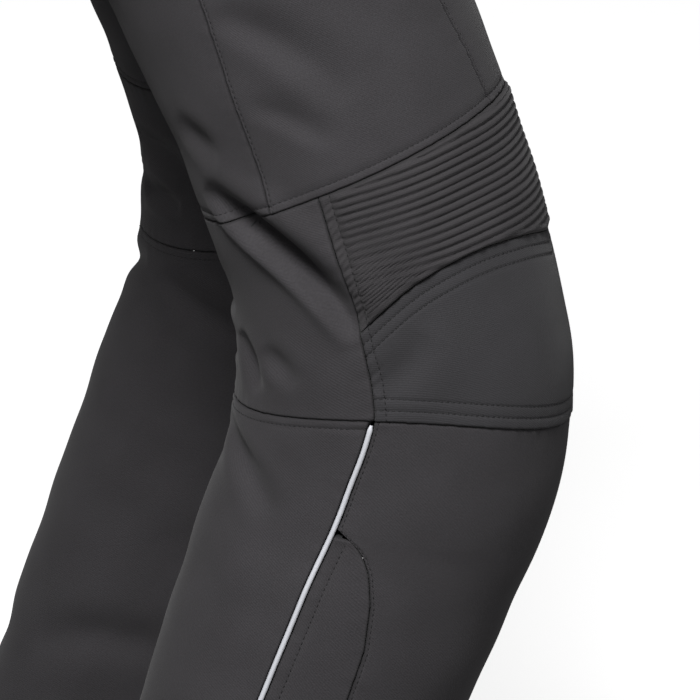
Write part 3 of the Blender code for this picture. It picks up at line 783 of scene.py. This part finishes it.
band, facingPiece = layBand(), layFly()
addCloth("waistbandCloth", "waistband", band, [shellMaterial, liningMaterial])
addCloth("flyFacing", "fly", facingPiece, [shellMaterial, liningMaterial])
sewPiece("stitchingBand", [stitchLine(band, edge, 0.003) for edge in ("top", "bottom")])
sewPiece("stitchingFly", [stitchLine(facingPiece, "right", distance) for distance in (0.0035, 0.0098)])

button = {
    "way": 0.019, "angle": 78.0, "lift": 0.0024,
    # radius and height in mm of the turned outline, from the middle of the face to the middle of the back
    "outline": (
        (0, 3.1), (4.6, 3.1), (5.6, 2.8), (6.3, 3.3), (7.4, 3.5),
        (8.2, 3.0), (8.5, 2.1), (8.3, 1.0), (7.4, 0.4), (0, 0.2),
    ),
}


def addButton():
    bm = bmesh.new()
    verts = [bm.verts.new((r / 1000, 0, z / 1000)) for r, z in button["outline"]]
    edges = [bm.edges.new(pair) for pair in zip(verts, verts[1:])]
    bmesh.ops.spin(
        bm, geom=[*verts, *edges], cent=(0, 0, 0), axis=(0, 0, 1), angle=2 * math.pi, steps=40,
        use_merge=True, use_duplicate=False,
    )
    bmesh.ops.remove_doubles(bm, verts=bm.verts, dist=0.00001)
    bmesh.ops.recalc_face_normals(bm, faces=bm.faces)
    foot = skinPoints(button["way"], button["angle"], -1, button["lift"])
    facing = Vector(facingOut(np.array(button["way"]), np.array(button["angle"]), -1))
    turn = facing.to_track_quat("Z", "Y").to_matrix().to_4x4()
    bmesh.ops.transform(bm, matrix=Matrix.Translation(Vector(foot)) @ turn, verts=bm.verts)
    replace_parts(finishPiece(bm, "waistButton", [buttonMaterial]), "button")


addButton()
print("band, fly and button made")

camera = {
    "target": (-0.1598, -0.0999, -0.5968), "distance": 3.0, "azimuth": 259.0, "elevation": 18.0,
    "lens": 285.7,
}
# Softboxes: azimuth and elevation in degrees, distance and size in metres, power in watts
studio = {
    "floor": -1.024, "world": 0.12, "aim": (-0.12, -0.05, -0.55),
    "keyLight": (camera["azimuth"] - 14, 52, 2.6, 0.8, 62.0),
    "fillLight": (camera["azimuth"] + 30, 12, 3.2, 1.6, 16.0),
}


def towards(azimuth, elevation):
    turn, lift = math.radians(azimuth), math.radians(elevation)
    return Vector((math.sin(turn) * math.cos(lift), -math.cos(turn) * math.cos(lift), math.sin(lift)))


def placeCamera():
    back = towards(camera["azimuth"], camera["elevation"])
    data = bpy.data.cameras.new("camera")
    data.lens, data.sensor_width, data.sensor_fit = camera["lens"], 36.0, "HORIZONTAL"
    data.clip_start, data.clip_end = 0.05, 60.0
    eye = bpy.data.objects.new("camera", data)
    eye.location = Vector(camera["target"]) + back * camera["distance"]
    eye.rotation_euler = back.to_track_quat("Z", "Y").to_euler()
    bpy.context.scene.collection.objects.link(eye)
    bpy.context.scene.camera = eye


def addSoftbox(name, azimuth, elevation, distance, size, power):
    back = towards(azimuth, elevation)
    data = bpy.data.lights.new(name, "AREA")
    data.shape, data.size, data.energy = "SQUARE", size, power
    lamp = bpy.data.objects.new(name, data)
    lamp.location = Vector(studio["aim"]) + back * distance
    lamp.rotation_euler = back.to_track_quat("Z", "Y").to_euler()
    bpy.context.scene.collection.objects.link(lamp)


def addFloor():
    bm = bmesh.new()
    place = Matrix.Translation((0, 0, studio["floor"]))
    bmesh.ops.create_grid(bm, x_segments=1, y_segments=1, size=30.0, matrix=place)
    mesh = bpy.data.meshes.new("studioFloor")
    bm.to_mesh(mesh)
    bm.free()
    material, _, shader = newMaterial("paintedFloor")
    shader.inputs["Base Color"].default_value = hexColour("#f7f7f7")
    shader.inputs["Roughness"].default_value = 0.9
    shader.inputs["Emission Color"].default_value = (1, 1, 1, 1)
    shader.inputs["Emission Strength"].default_value = 0.75
    mesh.materials.append(material)
    floor = bpy.data.objects.new("studioFloor", mesh)
    floor.visible_diffuse = False
    floor.visible_glossy = False
    bpy.context.scene.collection.objects.link(floor)


placeCamera()
addFloor()
for name in ("keyLight", "fillLight"):
    addSoftbox(name, *studio[name])
world = bpy.data.worlds.new("studioAir")
world.use_nodes = True
world.node_tree.nodes["Background"].inputs["Color"].default_value = (1, 1, 1, 1)
world.node_tree.nodes["Background"].inputs["Strength"].default_value = studio["world"]
bpy.context.scene.world = world
bpy.context.scene.view_settings.view_transform = "Standard"
print("studio made")
